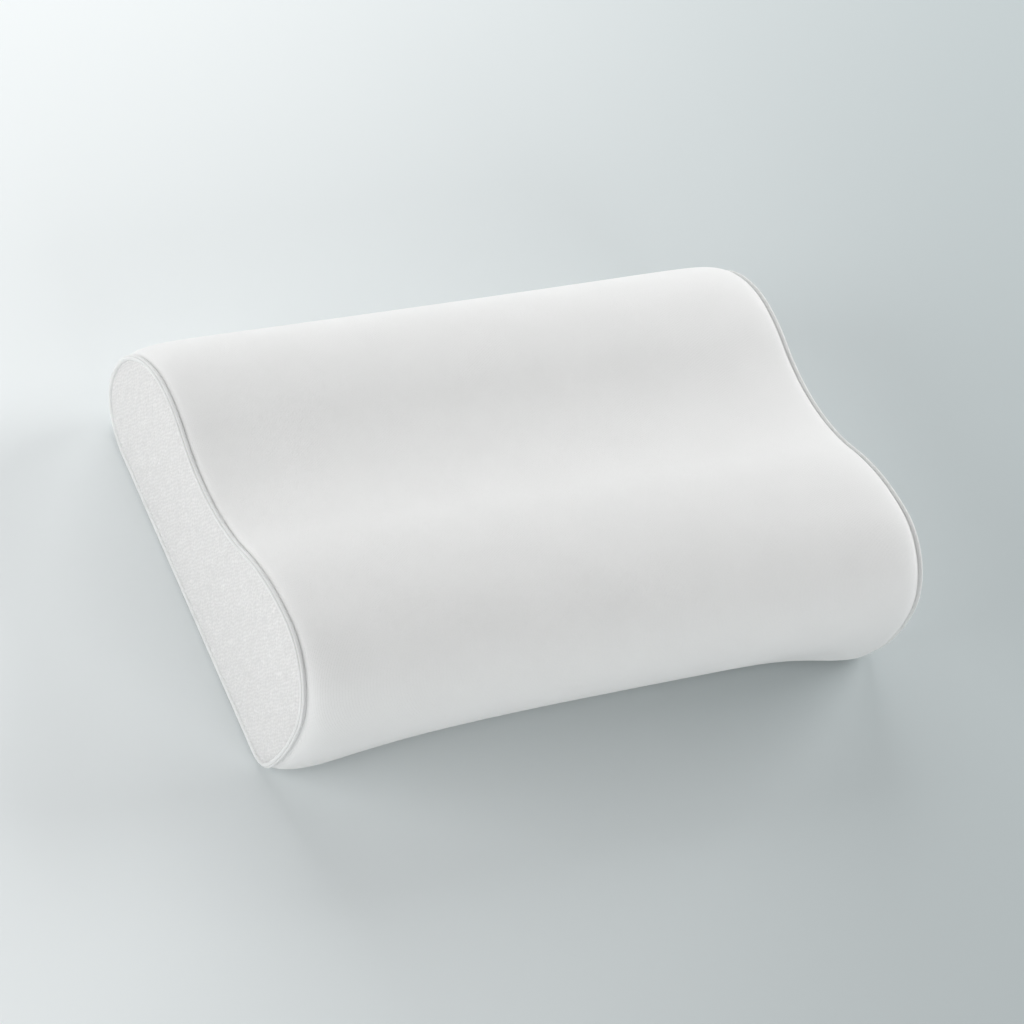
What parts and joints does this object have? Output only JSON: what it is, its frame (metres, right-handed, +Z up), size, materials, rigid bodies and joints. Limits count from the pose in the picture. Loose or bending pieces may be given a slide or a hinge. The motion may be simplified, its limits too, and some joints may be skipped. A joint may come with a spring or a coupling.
{
  "type": "contour bed pillow",
  "caption": "Wave-shaped bed pillow with a high front lobe and a low rear lobe: a foam core in a liner inside a piped knit cover with mesh ends and a rear zip.",
  "frame": {"origin": "on the resting face, below the middle of the whole pillow's box", "axes": "+X along the pillow's length, -Y towards the high front lobe, +Y towards the low rear lobe and the zip, +Z up from the resting face"},
  "size_m": [0.5048, 0.3584, 0.133],
  "materials": {
    "foam": "open-cell moulded polyurethane foam, matt",
    "liner_jersey": "thin white jersey, matt",
    "cover_knit": "white fine knit with a soft loft, matt",
    "air_mesh": "pale grey-white spacer mesh with small dimples",
    "piping_fabric": "white woven bias strip, matt",
    "filler_cord": "white twisted polyester cord",
    "sewing_thread": "white polyester thread, slight sheen",
    "zip_tape": "white woven polyester tape",
    "zip_coil": "white nylon monofilament, satin",
    "zip_metal": "white enamelled zinc, semi-gloss",
    "label_satin": "blank white satin tape"
  },
  "bodies": {
    "pillow": {"foam_core": "foam", "liner_wrap": "liner_jersey", "liner_end_left": "liner_jersey", "liner_end_right": "liner_jersey", "cover_wrap_panel": "cover_knit", "cover_end_left": "air_mesh", "cover_end_right": "air_mesh", "piping_sleeve_left": "piping_fabric", "piping_sleeve_right": "piping_fabric", "piping_cord_left": "filler_cord", "piping_cord_right": "filler_cord", "seam_thread_left": "sewing_thread", "seam_thread_right": "sewing_thread", "zip_topstitch_upper": "sewing_thread", "zip_topstitch_lower": "sewing_thread", "zip_bartack_left": "sewing_thread", "zip_bartack_right": "sewing_thread", "zip_tape_upper": "zip_tape", "zip_tape_lower": "zip_tape", "zip_coil_upper": "zip_coil", "zip_coil_lower": "zip_coil", "zip_top_stop_upper": "zip_metal", "zip_top_stop_lower": "zip_metal", "zip_bottom_stop": "zip_metal", "care_label": "label_satin"},
    "zip_slider": {"zip_slider_body": "zip_metal"},
    "pull_tab": {"zip_pull_tab": "zip_metal"}
  },
  "joints": [
    {"name": "zip_slide", "type": "slide", "parent": "pillow", "child": "zip_slider", "axis": [-1, 0, 0], "range_m": [0, 0.379], "deforming": ["zip_coil_upper", "zip_coil_lower"]},
    {"name": "pull_tab_hinge", "type": "hinge", "parent": "zip_slider", "child": "pull_tab", "pos_m": [0.19, 0.17792, 0.038], "axis": [0, 0, -1], "range_deg": [0, 180]}
  ]
}
